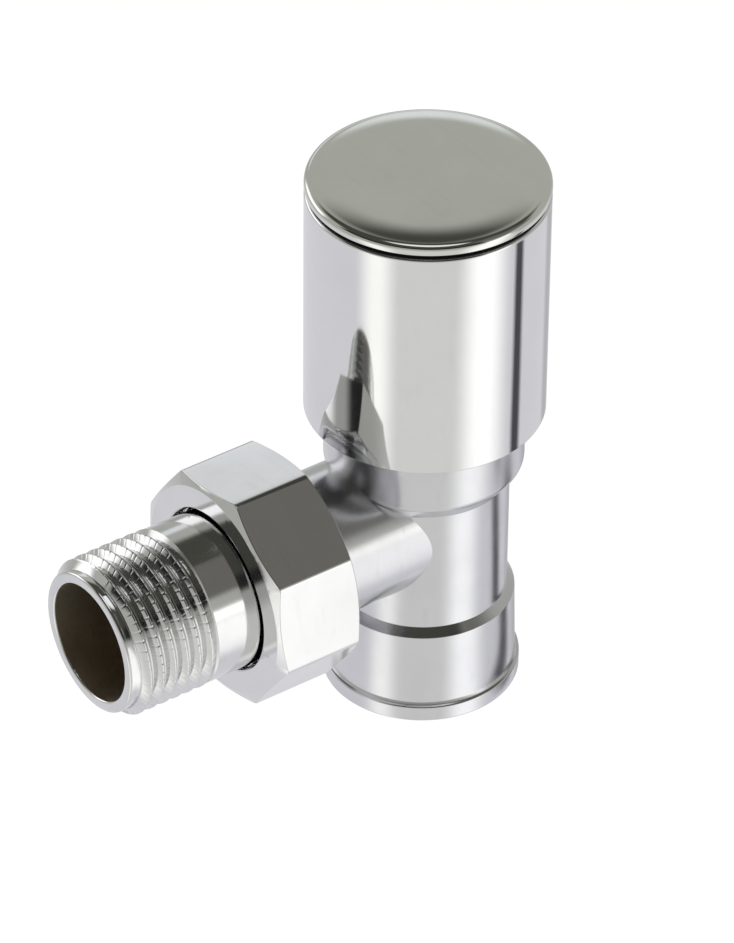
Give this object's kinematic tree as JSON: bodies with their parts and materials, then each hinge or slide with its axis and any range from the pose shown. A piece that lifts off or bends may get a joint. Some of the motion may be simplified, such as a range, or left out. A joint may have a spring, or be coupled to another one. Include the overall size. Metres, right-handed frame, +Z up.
{
  "type": "lockshield valve",
  "caption": "Chrome angle lockshield radiator valve with plain cylindrical cap, flat-sided union nut and threaded tailpiece.",
  "frame": {"origin": "centre of the flat inlet face at the bottom of the body", "axes": "+Z up along the spindle and cap axis, -X along the tailpiece towards the radiator, +Y across"},
  "size_m": [0.0663, 0.0306, 0.0762],
  "materials": {
    "chrome_body": "polished chrome plate on brass",
    "chrome_cap": "polished chrome plate on brass",
    "satin_crown": "smooth chrome with a faint satin grain",
    "brass": "machined",
    "steel": "bright",
    "rubber": "matte",
    "ptfe": "waxy",
    "insert_plastic": "moulded"
  },
  "bodies": {
    "valve_body": {"valve_body": "chrome_body", "headwork": "brass", "headwork_seal": "rubber", "gland_nut": "brass", "spindle_packing": "ptfe"},
    "cap_core": {"cap_core": "insert_plastic", "cap_lid": "insert_plastic", "cap_grip_ring": "rubber"},
    "cap_shell": {"cap_sleeve": "chrome_cap", "cap_crown": "satin_crown"},
    "plug": {"valve_plug": "brass", "plug_seal": "rubber", "plug_washer": "steel", "plug_screw": "steel", "plug_clip": "steel"},
    "spindle": {"spindle": "brass"},
    "tail": {"tailpiece": "chrome_body", "tail_seal": "rubber"},
    "nut": {"union_nut": "chrome_body"}
  },
  "joints": [
    {"name": "cap_lift", "type": "slide", "parent": "valve_body", "child": "cap_core", "axis": [0, 0, 1], "range_m": [0, 0.04]},
    {"name": "cap_spin", "type": "hinge", "parent": "cap_core", "child": "cap_shell", "pos_m": [0, 0, 0.06], "axis": [0, 0, 1], "continuous": true},
    {"name": "plug_travel", "type": "slide", "parent": "valve_body", "child": "plug", "axis": [0, 0, 1], "range_m": [0, 0.004]},
    {"name": "spindle_turn", "type": "hinge", "parent": "plug", "child": "spindle", "pos_m": [0, 0, 0.03], "axis": [0, 0, 1], "range_deg": [0, 960]},
    {"name": "tail_pull", "type": "slide", "parent": "valve_body", "child": "tail", "axis": [-1, 0, 0], "range_m": [0, 0.00726]},
    {"name": "nut_turn", "type": "hinge", "parent": "tail", "child": "nut", "pos_m": [-0.026, 0, 0.026], "axis": [-1, 0, 0], "range_deg": [0, 1440]}
  ],
  "couplings": [
    {"joint": "plug_travel", "follows": "spindle_turn", "m_per_rad": 0.00023873},
    {"joint": "tail_pull", "follows": "nut_turn", "m_per_rad": 0.0002887}
  ]
}
